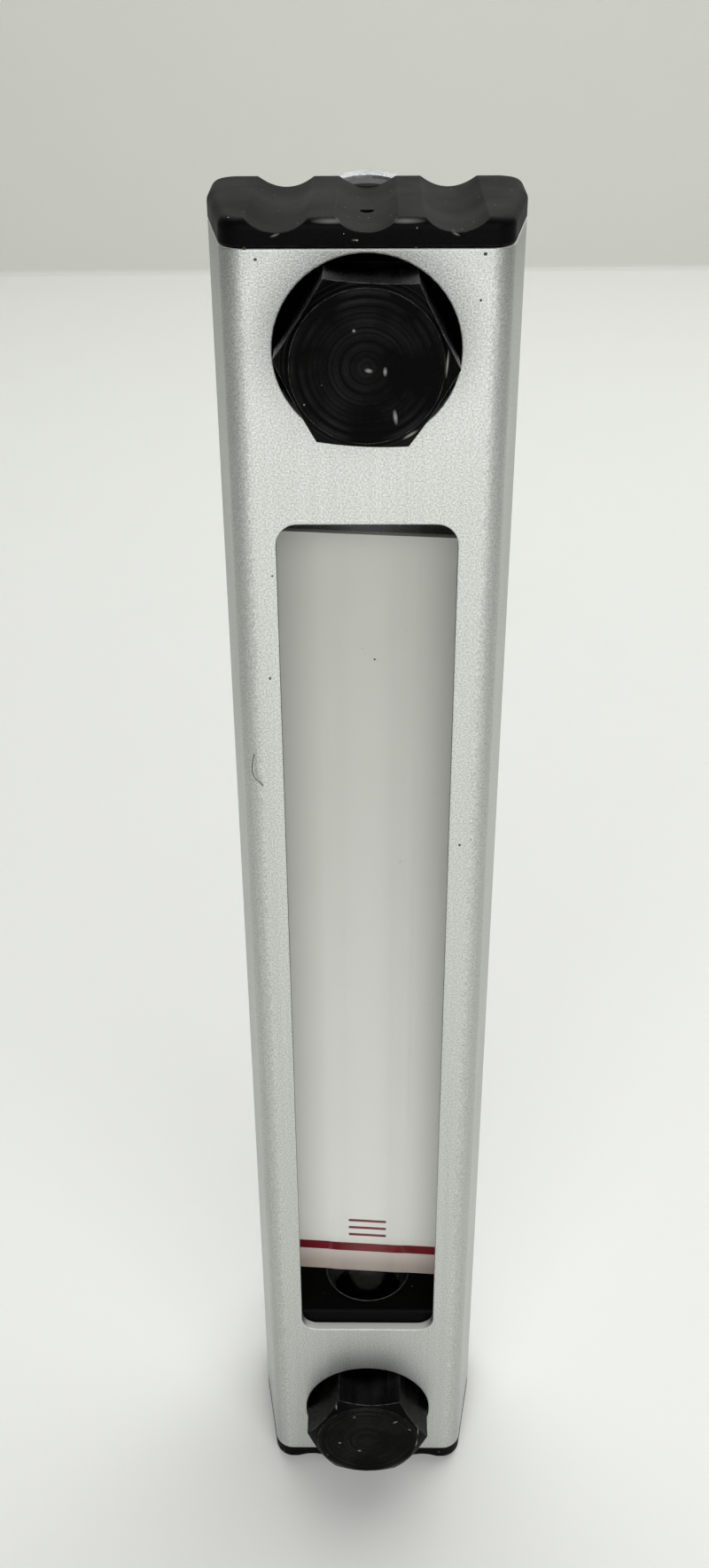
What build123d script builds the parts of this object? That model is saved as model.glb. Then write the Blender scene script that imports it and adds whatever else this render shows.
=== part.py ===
"""Tank level gauge: a clear sight glass and a white contrast strip in an extruded housing,
clamped to a tank wall by two hollow bolts that carry the fluid to the glass.

Frame, in millimetres: the origin is the lower bolt's axis at the tank wall, +Z runs up the gauge
and the gauge faces -Y. Everything with y > 0 stands inside the tank.
"""
from build123d import *
import os
from math import cos, radians, sin, tan

# ---- driving sizes -------------------------------------------------------------------------
bolt_spacing = 176.0          # between the two bolt axes
sliding_gap = 0.2             # between plastic pieces and the extrusion
loose_gap = 0.1               # between a shank and what it passes through
thread_gap = 0.05             # between a nut and its bolt

# extruded housing
end_overhang = 10.5           # extrusion beyond each bolt axis
housing_depth = 24.0
front_half = 15.1             # half width where front and sides would meet
side_half = 17.75             # half width across the straight rear of the sides
shoulder_depth = 15.0         # from the front to where the sides run straight back
wall = 1.4
corner_radius = 3.0
shoulder_radius = 8.0
head_hole_radius = 10.15
window_width = 20.8
window_margin = 19.6          # from each bolt axis to the window
window_radius = 2.5
rib_height = 1.0              # ribs on the inner sides that guide the contrast strip
rib_thickness = 1.0

# hollow bolts
shank_radius = 6.0
hex_across_flats = 17.0
head_height = 8.5
head_proud = 6.0              # of the housing's front
head_chamfer_deg = 30.0
head_flat_share = 0.95        # round flat on the head's face, as a share of the hexagon's flats
upper_head_turn_deg = 3.0     # how far each head was left turned, clockwise from the front
lower_head_turn_deg = 2.0
bore_radius = 2.5
cross_hole_radius = 2.0
flow_groove_depth = 0.9
flow_groove_width = 6.0
thread_tail = 3.0             # bolt beyond the nut
end_chamfer = 1.0

# seals
head_seal_radius = 8.0
head_seal_thickness = 1.5
wall_seal_radius = 12.5
wall_seal_thickness = 3.0
tube_seal_cord = 1.5          # diameter of the O-ring's cord
tube_seal_squeeze = 0.1       # how far its groove is shallower than the cord

# washers and nuts
clamp_room = 5.8              # between wall seal and washer, where the tank wall goes
washer_radius = 12.0
washer_bore_radius = 6.5
washer_thickness = 2.5
nut_across_flats = 19.0
nut_height = 10.0
nut_chamfer_deg = 30.0

# sight glass
glass_radius = 6.5
glass_wall = 1.5
glass_depth = 10.35           # from the housing's front to the glass's axis
glass_flat = 1.15             # flat back, this far in front of the axis
spigot_length = 8.0           # of glass inside each terminal

# terminals
terminal_reach = 22.1         # from the bolt axis to the face that the strip stands on
terminal_tail = 8.4           # from the bolt axis towards the end cap
boss_radius = 9.0
socket_chamfer = 0.4
passage_radius = 4.0

# contrast strip
strip_side_gap = 1.0          # between the strip's edges and the housing's sides
strip_end_gap = 2.3           # left above the strip, which has slid down to its stop
strip_thickness = 1.0
strip_cut_deg = 2.0           # its upper end is sheared off square, but for this much
strip_turn_deg = -3.9         # the strip stands loose in its guides, right side forward
strip_depth = 9.8             # from the housing's front to its face

# end caps
cap_thickness = 3.0
cap_edge_radius = 1.1
cap_shadow_chamfer = 0.3
cap_rim_depth = 4.0
cap_rim_wall = 1.5
groove_pitch = 9.3
groove_radius = 4.7
groove_depth = 1.35
gate_radius = 0.8
gate_depth = 0.7

# ---- places that follow ---------------------------------------------------------------------
rear_y = -wall_seal_thickness
front_y = rear_y - housing_depth
shoulder_y = front_y + shoulder_depth
glass_y = front_y + glass_depth
strip_y = front_y + strip_depth + strip_thickness / 2
head_front_y = front_y - head_proud
head_seat_y = head_front_y + head_height
seal_seat_y = head_seat_y + head_seal_thickness
washer_y = clamp_room
nut_y = washer_y + washer_thickness
bolt_end_y = nut_y + nut_height + thread_tail

middle_z = bolt_spacing / 2
housing_length = bolt_spacing + 2 * end_overhang
shank_bore_radius = shank_radius + loose_gap
glass_inner_radius = glass_radius - glass_wall
socket_radius = glass_radius + loose_gap
socket_floor = terminal_reach - spigot_length - sliding_gap
strip_length = bolt_spacing - 2 * terminal_reach - strip_end_gap
inner_half = front_half + (side_half - front_half) * strip_depth / shoulder_depth - wall
strip_width = 2 * (inner_half - strip_side_gap)
strip_slot = strip_thickness + strip_width * tan(radians(abs(strip_turn_deg))) + 2 * sliding_gap
rim_end = end_overhang - cap_rim_depth
rim_inset = wall + rib_height + sliding_gap
liner_radius = corner_radius - wall

UPRIGHT = Plane.XY            # sketches looked at along the gauge


def facing_front(y):
    """The plane across the bolts at this depth, whose extrusions go back, towards the tank."""
    return Plane(origin=(0, y, 0), x_dir=(-1, 0, 0), z_dir=(0, 1, 0))


def section(side_inset, face_inset, radius):
    """Sketch the housing's outline, drawn in by an inset at its sides and at its front and back."""
    front, rear = front_y + face_inset, rear_y - face_inset
    narrow, wide = front_half - side_inset, side_half - side_inset
    with BuildSketch(UPRIGHT) as outline:
        Polygon(
            (-narrow, front), (narrow, front), (wide, shoulder_y),
            (wide, rear), (-wide, rear), (-wide, shoulder_y), align=None,
        )
        corners = outline.vertices()
        bends = [v for v in corners if abs(v.Y - shoulder_y) < loose_gap]
        fillet([v for v in corners if v not in bends], radius)
        bends = [v for v in outline.vertices() if abs(v.Y - shoulder_y) < loose_gap]
        fillet(bends, shoulder_radius)
    return outline.sketch


def save(piece, name):
    """Label a finished piece and write it as one STEP file."""
    piece.part.label = name
    export_step(piece.part, f"parts/{name}.step")


def save_pair(piece, name):
    """Write a piece of the lower end, and its mirror image about the middle as the upper end's."""
    save(piece, f"lower_{name}")
    with BuildPart() as upper:
        mirror(piece.part, about=Plane.XY.offset(middle_z))
    save(upper, f"upper_{name}")


os.makedirs("parts", exist_ok=True)

# ---- housing ---------------------------------------------------------------------------------
with BuildPart() as housing:
    with BuildSketch(UPRIGHT.offset(-end_overhang)):
        add(section(0, 0, corner_radius))
        add(section(wall, wall, liner_radius), mode=Mode.SUBTRACT)
    extrude(amount=housing_length)
    # ribs that leave a slot for the contrast strip on each inner side
    rib_offset = (strip_slot + rib_thickness) / 2
    with BuildSketch(UPRIGHT.offset(-end_overhang)):
        with Locations((0, strip_y - rib_offset), (0, strip_y + rib_offset)):
            Rectangle(2 * side_half, rib_thickness)
        add(section(0, 0, corner_radius), mode=Mode.INTERSECT)
        add(section(wall + rib_height, wall, liner_radius), mode=Mode.SUBTRACT)
    extrude(amount=housing_length)
    # window and head holes through the front, boss holes through the back
    with BuildSketch(facing_front(front_y)):
        with Locations((0, middle_z)):
            RectangleRounded(window_width, bolt_spacing - 2 * window_margin, window_radius)
        with Locations((0, 0), (0, bolt_spacing)):
            Circle(head_hole_radius)
    extrude(amount=housing_depth / 2, mode=Mode.SUBTRACT)
    with BuildSketch(facing_front(rear_y)):
        with Locations((0, 0), (0, bolt_spacing)):
            Circle(boss_radius + loose_gap)
    extrude(amount=-housing_depth / 4, mode=Mode.SUBTRACT)
save(housing, "housing_profile")

# ---- end caps --------------------------------------------------------------------------------
with BuildPart() as cap:
    with BuildSketch(UPRIGHT.offset(-end_overhang)):
        add(section(0, 0, corner_radius))
    extrude(amount=-cap_thickness)
    fillet(cap.faces().sort_by(Axis.Z)[0].edges(), cap_edge_radius)
    chamfer(cap.faces().sort_by(Axis.Z)[-1].edges(), cap_shadow_chamfer)
    # rim that plugs into the extrusion
    rim_face_inset = wall + sliding_gap
    with BuildSketch(UPRIGHT.offset(-end_overhang)):
        add(section(rim_inset, rim_face_inset, liner_radius))
        hollow = section(rim_inset + cap_rim_wall, rim_face_inset + cap_rim_wall, liner_radius)
        add(hollow, mode=Mode.SUBTRACT)
    extrude(amount=cap_rim_depth)
    # finger grooves across the end face, front to back
    with BuildSketch(Plane.XZ.offset(-rear_y)):
        with Locations(*[(i * groove_pitch, -end_overhang - cap_thickness - groove_radius + groove_depth)
                         for i in (-1, 0, 1)]):
            Circle(groove_radius)
    extrude(amount=housing_depth, mode=Mode.SUBTRACT)
    # moulding gate in the middle groove
    with BuildSketch(UPRIGHT.offset(-end_overhang - cap_thickness)):
        with Locations((0, glass_y)):
            Circle(gate_radius)
    extrude(amount=groove_depth + gate_depth, mode=Mode.SUBTRACT)
    # room for the bolt's head and the boss
    with BuildSketch(facing_front(front_y)):
        Circle(head_hole_radius)
    extrude(amount=seal_seat_y - front_y + sliding_gap, mode=Mode.SUBTRACT)
    with BuildSketch(facing_front(rear_y)):
        Circle(boss_radius + sliding_gap)
    extrude(amount=-(wall + cap_rim_wall + 2 * sliding_gap), mode=Mode.SUBTRACT)
save_pair(cap, "end_cap")

# ---- terminals -------------------------------------------------------------------------------
with BuildPart() as terminal:
    with BuildSketch(UPRIGHT.offset(-rim_end + sliding_gap)):
        add(section(rim_inset, wall + sliding_gap, liner_radius))
    extrude(amount=terminal_reach + rim_end - sliding_gap)
    # tail that the cap's rim closes around
    tail_inset = cap_rim_wall + sliding_gap
    with BuildSketch(UPRIGHT.offset(-terminal_tail)):
        add(section(rim_inset + tail_inset, wall + sliding_gap + tail_inset, liner_radius))
    extrude(amount=terminal_tail)
    # boss through the back of the housing
    with BuildSketch(facing_front(rear_y)):
        Circle(boss_radius)
    extrude(amount=-(wall + tail_inset + sliding_gap))
    # bolt bore, with a sunk seat for the head and its seal
    with BuildSketch(facing_front(front_y)):
        Circle(head_hole_radius)
    extrude(amount=seal_seat_y - front_y, mode=Mode.SUBTRACT)
    with BuildSketch(facing_front(front_y)):
        Circle(shank_bore_radius)
    extrude(amount=housing_depth, mode=Mode.SUBTRACT)
    # passage from the bolt up to the glass, and the glass's socket
    with BuildSketch(UPRIGHT):
        with Locations((0, glass_y)):
            Circle(passage_radius)
    extrude(amount=terminal_reach, mode=Mode.SUBTRACT)
    with BuildSketch(UPRIGHT.offset(socket_floor)):
        with Locations((0, glass_y)):
            Circle(socket_radius)
    extrude(amount=terminal_reach - socket_floor, mode=Mode.SUBTRACT)
    mouth = terminal.edges().filter_by(GeomType.CIRCLE).group_by(Axis.Z)[-1].sort_by(SortBy.RADIUS)[-1]
    chamfer(mouth, socket_chamfer)
save_pair(terminal, "terminal")

# ---- sight glass -----------------------------------------------------------------------------
seal_z = terminal_reach - spigot_length / 2
seal_groove_radius = glass_radius - tube_seal_cord + tube_seal_squeeze + loose_gap
with BuildPart() as glass:
    with BuildSketch(UPRIGHT.offset(socket_floor + sliding_gap)):
        with Locations((0, glass_y)):
            Circle(glass_radius)
    extrude(amount=bolt_spacing - 2 * (socket_floor + sliding_gap))
    # the flat back between the terminals
    with BuildSketch(UPRIGHT.offset(terminal_reach - sliding_gap)):
        with Locations((0, glass_y + glass_radius - glass_flat)):
            Rectangle(2 * glass_radius, 2 * glass_radius)
    extrude(amount=bolt_spacing - 2 * (terminal_reach - sliding_gap), mode=Mode.SUBTRACT)
    # the bore follows: round in the spigots, flat-backed between them
    with BuildSketch(UPRIGHT.offset(socket_floor)):
        with Locations((0, glass_y)):
            Circle(glass_inner_radius)
        with Locations((0, glass_y + glass_radius - glass_flat - glass_wall)):
            Rectangle(2 * glass_radius, 2 * glass_radius, mode=Mode.SUBTRACT)
    extrude(amount=bolt_spacing - 2 * socket_floor, mode=Mode.SUBTRACT)
    # grooves for the O-rings
    with BuildSketch(Plane.XZ.offset(-glass_y)):
        for z in (seal_z, bolt_spacing - seal_z):
            with Locations((glass_radius, z)):
                Rectangle(2 * (glass_radius - seal_groove_radius), tube_seal_cord + 2 * loose_gap)
    revolve(axis=Axis((0, glass_y, 0), (0, 0, 1)), mode=Mode.SUBTRACT)
save(glass, "sight_glass")

# the O-ring, drawn as it sits: squeezed square between its groove and its socket
with BuildPart() as tube_seal:
    with BuildSketch(Plane.XZ.offset(-glass_y)):
        with Locations(((seal_groove_radius + socket_radius) / 2, seal_z)):
            Rectangle(socket_radius - seal_groove_radius, tube_seal_cord)
    revolve(axis=Axis((0, glass_y, 0), (0, 0, 1)))
save_pair(tube_seal, "tube_seal")

# ---- contrast strip --------------------------------------------------------------------------
turn = radians(strip_turn_deg)
strip_plane = Plane(
    origin=(0, strip_y, terminal_reach), x_dir=(cos(turn), sin(turn), 0), z_dir=(sin(turn), -cos(turn), 0)
)
cut_rise = strip_width / 2 * tan(radians(strip_cut_deg))
with BuildPart() as strip:
    with BuildSketch(strip_plane):
        Polygon(
            (-strip_width / 2, 0), (strip_width / 2, 0), (strip_width / 2, strip_length - cut_rise),
            (-strip_width / 2, strip_length + cut_rise), align=None,
        )
    extrude(amount=strip_thickness / 2, both=True)
save(strip, "contrast_strip")


# ---- hollow bolts ----------------------------------------------------------------------------
def hollow_bolt(name, axis_z, turn_deg):
    """Build one hollow bolt on its axis and write it."""
    groove_bottom = shank_radius - flow_groove_depth
    head_corner = hex_across_flats / 3 ** 0.5
    with BuildPart() as bolt:
        with BuildSketch(facing_front(head_front_y)):
            with Locations((0, axis_z)):
                RegularPolygon(hex_across_flats / 2, 6, major_radius=False, rotation=turn_deg)
        extrude(amount=head_height)
        # a cone trims the corners of the head's face
        flat_circle = head_flat_share * hex_across_flats / 2
        cone_depth = (head_corner - flat_circle) * tan(radians(head_chamfer_deg))
        with BuildSketch(Plane.YZ):
            with BuildLine():
                Polyline(
                    (head_front_y, axis_z), (head_front_y, axis_z + flat_circle),
                    (head_front_y + cone_depth, axis_z + head_corner),
                    (bolt_end_y, axis_z + head_corner), (bolt_end_y, axis_z), close=True,
                )
            make_face()
        revolve(axis=Axis((0, 0, axis_z), (0, 1, 0)), mode=Mode.INTERSECT)
        # shank with its flow groove
        with BuildSketch(facing_front(head_seat_y)):
            with Locations((0, axis_z)):
                Circle(shank_radius)
        extrude(amount=bolt_end_y - head_seat_y)
        chamfer(bolt.faces().sort_by(Axis.Y)[-1].edges(), end_chamfer)
        with BuildSketch(Plane.YZ):
            with Locations((glass_y, axis_z + shank_radius)):
                Rectangle(flow_groove_width, 2 * flow_groove_depth)
        revolve(axis=Axis((0, 0, axis_z), (0, 1, 0)), mode=Mode.SUBTRACT)
        # bore from the tank end, met by the cross hole
        with BuildSketch(facing_front(glass_y)):
            with Locations((0, axis_z)):
                Circle(bore_radius)
        extrude(amount=bolt_end_y - glass_y, mode=Mode.SUBTRACT)
        with BuildSketch(UPRIGHT.offset(axis_z - shank_radius)):
            with Locations((0, glass_y)):
                Circle(cross_hole_radius)
        extrude(amount=2 * shank_radius, mode=Mode.SUBTRACT)
    save(bolt, name)


hollow_bolt("lower_banjo_bolt", 0, lower_head_turn_deg)
hollow_bolt("upper_banjo_bolt", bolt_spacing, upper_head_turn_deg)


# ---- seals, washers and nuts -----------------------------------------------------------------
def ring(y, thickness, outer_radius, inner_radius):
    """Build a flat ring on the lower bolt's axis, from this depth towards the tank."""
    with BuildPart() as piece:
        with BuildSketch(facing_front(y)):
            Circle(outer_radius)
            Circle(inner_radius, mode=Mode.SUBTRACT)
        extrude(amount=thickness)
    return piece


save_pair(ring(head_seat_y, head_seal_thickness, head_seal_radius, shank_bore_radius), "head_seal")
save_pair(ring(rear_y, wall_seal_thickness, wall_seal_radius, shank_bore_radius), "wall_seal")
save_pair(ring(washer_y, washer_thickness, washer_radius, washer_bore_radius), "washer")

with BuildPart() as nut:
    with BuildSketch(facing_front(nut_y)):
        RegularPolygon(nut_across_flats / 2, 6, major_radius=False)
        Circle(shank_radius + thread_gap, mode=Mode.SUBTRACT)
    extrude(amount=nut_height)
    # a cone trims the corners at its free end
    nut_corner = nut_across_flats / 3 ** 0.5
    nut_flat_circle = nut_across_flats / 2
    nut_cone = (nut_corner - nut_flat_circle) * tan(radians(nut_chamfer_deg))
    with BuildSketch(Plane.YZ):
        with BuildLine():
            Polyline(
                (nut_y, 0), (nut_y, nut_corner), (nut_y + nut_height - nut_cone, nut_corner),
                (nut_y + nut_height, nut_flat_circle),
                (nut_y + nut_height, 0), close=True,
            )
        make_face()
    revolve(axis=Axis.Y, mode=Mode.INTERSECT)
save_pair(nut, "nut")
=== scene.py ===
"""Dressed model of a tank level gauge: a clear sight tube before a white contrast strip, in an
anodised housing that two hollow bolts clamp to a tank wall.

Lengths are metres in the part's own frame: +Z runs up the gauge and the gauge faces -Y. Only
the sizes of shader patterns, and tables that say so, are in millimetres.
"""
import logging
import math
import random
from dataclasses import dataclass, field
from enum import Enum
from typing import Callable, Optional, Sequence

import bmesh
import bpy
from mathutils import Matrix, Vector


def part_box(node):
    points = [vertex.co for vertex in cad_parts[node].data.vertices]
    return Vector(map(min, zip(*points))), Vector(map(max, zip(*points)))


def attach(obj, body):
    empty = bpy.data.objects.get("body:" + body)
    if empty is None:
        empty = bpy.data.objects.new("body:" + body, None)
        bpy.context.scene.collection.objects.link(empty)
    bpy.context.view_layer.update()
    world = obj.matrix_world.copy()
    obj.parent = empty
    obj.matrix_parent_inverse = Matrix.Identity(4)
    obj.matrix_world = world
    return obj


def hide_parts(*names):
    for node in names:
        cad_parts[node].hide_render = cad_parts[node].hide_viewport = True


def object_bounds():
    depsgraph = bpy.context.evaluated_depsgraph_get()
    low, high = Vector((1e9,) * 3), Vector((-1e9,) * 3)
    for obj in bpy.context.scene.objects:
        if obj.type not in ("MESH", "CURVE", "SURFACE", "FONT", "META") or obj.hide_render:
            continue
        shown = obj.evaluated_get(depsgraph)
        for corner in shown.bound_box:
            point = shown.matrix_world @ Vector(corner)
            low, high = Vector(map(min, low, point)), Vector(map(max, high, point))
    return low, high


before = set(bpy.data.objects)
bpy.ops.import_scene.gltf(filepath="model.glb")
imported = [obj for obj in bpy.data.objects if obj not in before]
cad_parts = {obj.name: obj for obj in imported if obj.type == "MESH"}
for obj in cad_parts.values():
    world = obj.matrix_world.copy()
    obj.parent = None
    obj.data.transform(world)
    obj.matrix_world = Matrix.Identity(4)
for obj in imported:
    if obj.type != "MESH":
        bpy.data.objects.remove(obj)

log = logging.getLogger("level_gauge")
MM = 0.001
BODY = "root"
CAD_BOX = [list(corner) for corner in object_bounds()]
NOISE_SPAN = (0.3, 0.7)     # what most of a noise's values lie between
MARK_DEPTH = 2.0            # how far a mark reaches through its face, in millimetres
SPECK_SEED = 7
SPECK_LIFT = 0.02           # of a speck's middle from the face that it lies on, in millimetres

Material = bpy.types.Material
Mesh = bpy.types.Mesh
Object = bpy.types.Object
Outputs = bpy.types.bpy_prop_collection
Socket = bpy.types.NodeSocket
Colour = tuple[float, float, float]
Point = tuple[float, float]
Point3 = tuple[float, float, float]
Mark = tuple[float, float, float, float, float]
Rows = list[list[Vector]]


class Slot(Enum):
    """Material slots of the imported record."""

    HOUSING = "housing"
    CAP = "cap"
    TERMINAL = "terminal"
    GLASS = "glass"
    STRIP = "strip"
    BOLT = "bolt"
    SEAL = "seal"
    ZINC = "zinc"


class End(Enum):
    """The gauge's two ends."""

    LOWER = "lower"
    UPPER = "upper"


# ---- shader building ------------------------------------------------------------------------
def linear(*channels: int) -> Colour:
    """Turn a display colour into the linear one that shaders hold.

    Args:
        channels: red, green and blue, 0 to 255.

    Returns:
        The linear colour.
    """
    shares = [value / 255 for value in channels]
    return tuple(share / 12.92 if share <= 0.04045 else ((share + 0.055) / 1.055) ** 2.4
                 for share in shares)


@dataclass(frozen=True)
class Coat:
    """A colour laid over another as a value rises through a span, up to a share of it."""

    colour: Colour
    share: float = 1.0
    span: Point = (0.0, 1.0)


class Graph:
    """A node tree with short ways to add nodes and join them."""

    def __init__(self, tree: bpy.types.NodeTree) -> None:
        """Keep the tree, emptied. The coordinates that its patterns follow are set later."""
        self.tree = tree
        self.place: Optional[Socket] = None
        tree.nodes.clear()

    def add(self, kind: str, inputs: Optional[dict] = None, **settings: object) -> bpy.types.Node:
        """Add a node.

        Args:
            kind: the node's type name, such as "ShaderNodeTexNoise".
            inputs: socket names, each with a constant or with the socket that feeds it.
            settings: properties of the node itself.

        Returns:
            The new node.
        """
        node = self.tree.nodes.new(kind)
        for name, value in settings.items():
            setattr(node, name, value)
        for name, value in (inputs or {}).items():
            self.feed(node.inputs[name], value)
        return node

    def feed(self, socket: Socket, value: object) -> None:
        """Set a socket to a constant, or link it to another socket.

        Args:
            socket: the input.
            value: a number, a colour, or the socket to link.
        """
        if isinstance(value, Socket):
            self.tree.links.new(value, socket)
        elif socket.type == "RGBA" and len(value) == 3:
            socket.default_value = (*value, 1)
        else:
            socket.default_value = value

    def mix(self, share: object, low: object, high: object) -> Socket:
        """Blend two colours.

        Args:
            share: how much of the second colour shows, a number or a socket.
            low: the first colour.
            high: the second colour.

        Returns:
            The blended colour's socket.
        """
        node = self.add("ShaderNodeMix", data_type="RGBA")
        self.feed(node.inputs[0], share)
        self.feed(node.inputs[6], low)
        self.feed(node.inputs[7], high)
        return node.outputs[2]

    def coat(self, under: object, value: Socket, coat: Coat) -> Socket:
        """Lay a coat over a colour, as much as the value says."""
        return self.mix(self.remap(value, coat.span, (0, coat.share)), under, coat.colour)

    def remap(self, value: object, source: Sequence[object], target: Point) -> Socket:
        """Map a value from its lowest and highest to what those two become, clamped."""
        inputs = {"Value": value, "From Min": source[0], "From Max": source[1],
                  "To Min": target[0], "To Max": target[1]}
        return self.add("ShaderNodeMapRange", inputs).outputs["Result"]

    def maths(self, operation: str, *values: object) -> Socket:
        """Combine values with a Math node.

        Args:
            operation: the node's operation, such as "MAXIMUM".
            values: numbers or sockets, in the node's order.

        Returns:
            The result's socket.
        """
        node = self.add("ShaderNodeMath", operation=operation)
        for socket, value in zip(node.inputs, values):
            self.feed(socket, value)
        return node.outputs[0]

    def times(self, first: object, *others: object) -> Socket:
        """Multiply numbers and sockets, and return the product's socket."""
        for other in others:
            first = self.maths("MULTIPLY", first, other)
        return first

    def vectors(self, operation: str, *values: object) -> Outputs:
        """Combine vectors or sockets with a Vector Math node, and return its outputs."""
        return self.add("ShaderNodeVectorMath", dict(enumerate(values)), operation=operation).outputs

    def axes(self, vector: Socket) -> Outputs:
        """Split a vector into its outputs X, Y and Z."""
        return self.add("ShaderNodeSeparateXYZ", {"Vector": vector}).outputs

    def from_axis(self, z: float) -> tuple[Socket, Socket]:
        """Measure from an axis that runs front to back.

        Args:
            z: the axis's height, in metres.

        Returns:
            Sockets of the distance from the axis and of the rise above it.
        """
        moved = self.vectors("ADD", self.place, (0, 0, -z))["Vector"]
        flat = self.vectors("MULTIPLY", moved, (1, 0, 1))["Vector"]
        return self.vectors("LENGTH", flat)["Value"], self.axes(moved)["Z"]

    def pattern_scale(self, size: object) -> Socket:
        """Return the scale at which a pattern has this size in millimetres."""
        return self.maths("DIVIDE", 1.0, self.times(size, MM))

    def noise(self, place: Socket, size: Socket, detail: float) -> Socket:
        """Make soft noise of a size in millimetres, with finer layers as its detail says."""
        inputs = {"Vector": place, "Scale": self.pattern_scale(size), "Detail": detail}
        return self.add("ShaderNodeTexNoise", inputs).outputs["Fac"]

    def effect(self, group: bpy.types.NodeTree, **values: object) -> Outputs:
        """Place a shared effect with its own values.

        Args:
            group: the node group.
            values: its inputs, with underscores for the spaces in their names.

        Returns:
            The group's outputs, by name.
        """
        node = self.add("ShaderNodeGroup", {"Coordinates": self.place}, node_tree=group)
        for name, value in values.items():
            self.feed(node.inputs[name.replace("_", " ")], value)
        return node.outputs

    def rounded(self, radius: object) -> Socket:
        """Return the normal over edges rounded by this radius in metres."""
        return self.add("ShaderNodeBevel", {"Radius": radius}, samples=6).outputs["Normal"]

    def bump(self, height: object, distance: float, strength: float, radius: float = 0.0) -> Socket:
        """Turn a height into a normal, over edges that are rounded in the shading.

        Args:
            height: the height's socket.
            distance: how far a height of 1 stands up, in millimetres.
            strength: the bump's strength.
            radius: rounding of the edges in millimetres.

        Returns:
            The normal's socket.
        """
        inputs = {"Height": height, "Distance": distance * MM, "Strength": strength}
        if radius:
            inputs["Normal"] = self.rounded(radius * MM)
        return self.add("ShaderNodeBump", inputs).outputs["Normal"]

    def marks(self, marks: Sequence[Mark], face_y: float) -> object:
        """Mask small soft-edged marks on a front face.

        Args:
            marks: x, z, length, width in millimetres and turn in degrees of each.
            face_y: depth of the face, in metres.

        Returns:
            The mask's socket, or 0 where there are none.
        """
        mask = 0.0
        for x, z, length, width, turn_deg in marks:
            spot = self.add("ShaderNodeMapping", {
                "Vector": self.place, "Location": (x * MM, face_y, z * MM),
                "Rotation": (0, math.radians(turn_deg), 0),
                "Scale": (length / 2 * MM, MARK_DEPTH * MM, width / 2 * MM),
            }, vector_type="TEXTURE")
            reach = self.vectors("LENGTH", spot.outputs["Vector"])["Value"]
            mask = self.maths("MAXIMUM", mask, self.remap(reach, (1.2, 0.0), (0, 0.8)))
        return mask

    def skin(self, colour: Socket, roughness: object, **more: object) -> Socket:
        """Add a surface shader.

        Args:
            colour: its base colour.
            roughness: its roughness, a number or a socket.
            more: further inputs, with underscores for the spaces in their names.

        Returns:
            The shader's socket.
        """
        inputs = {"Base Color": colour, "Roughness": roughness}
        inputs.update((name.replace("_", " "), value) for name, value in more.items())
        return self.add("ShaderNodeBsdfPrincipled", inputs).outputs["BSDF"]

    def blend(self, share: Socket, first: Socket, second: Socket) -> Socket:
        """Blend two shaders, where the share is the second one's."""
        return self.add("ShaderNodeMixShader", {0: share, 1: first, 2: second}).outputs["Shader"]


def new_group(name: str, inputs: dict[str, float], outputs: Sequence[str]) -> tuple[
        Graph, Outputs, bpy.types.Node]:
    """Start a shader node group whose sockets are all values, apart from its coordinates.

    Args:
        name: the group's name.
        inputs: value inputs with their defaults; a Vector input named Coordinates comes first.
        outputs: names of the value outputs.

    Returns:
        The group's graph, what it is given, by name, and its output node.
    """
    tree = bpy.data.node_groups.new(name, "ShaderNodeTree")
    graph = Graph(tree)
    tree.interface.new_socket("Coordinates", in_out="INPUT", socket_type="NodeSocketVector")
    for label, default in inputs.items():
        socket = tree.interface.new_socket(label, in_out="INPUT", socket_type="NodeSocketFloat")
        socket.default_value = default
    for label in outputs:
        tree.interface.new_socket(label, in_out="OUTPUT", socket_type="NodeSocketFloat")
    given = graph.add("NodeGroupInput").outputs
    graph.place = given["Coordinates"]
    return graph, given, graph.add("NodeGroupOutput")


def grain_group() -> bpy.types.NodeTree:
    """Fine grain over slow cloudy variation, as on blasted or moulded surfaces.

    Returns:
        The group, whose Grain and Cloud outputs run from 0 to 1.
    """
    graph, given, out = new_group("surface_grain", {"Grain Size": 0.3, "Cloud Size": 20.0},
                                  ("Grain", "Cloud"))
    for label, detail in (("Grain", 2.0), ("Cloud", 3.0)):
        noise = graph.noise(graph.place, given[f"{label} Size"], detail)
        graph.feed(out.inputs[label], graph.remap(noise, NOISE_SPAN, (0, 1)))
    return graph.tree


def fleck_group() -> bpy.types.NodeTree:
    """Scattered small flecks, such as dust or pale specks in a moulding.

    Returns:
        The group, whose Flecks output is 1 on a fleck and 0 between them.
    """
    graph, given, out = new_group("scattered_flecks", {"Spacing": 2.0, "Size": 0.15, "Share": 0.4},
                                  ("Flecks",))
    cells = graph.add("ShaderNodeTexVoronoi", {
        "Vector": graph.place, "Scale": graph.pattern_scale(given["Spacing"])}).outputs
    apart = graph.maths("DIVIDE", given["Size"], given["Spacing"])
    inside = graph.maths("LESS_THAN", cells["Distance"], apart)
    shade = graph.add("ShaderNodeSeparateColor", {"Color": cells["Color"]})
    chosen = graph.maths("LESS_THAN", shade.outputs["Red"], given["Share"])
    graph.feed(out.inputs["Flecks"], graph.times(inside, chosen))
    return graph.tree


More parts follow.
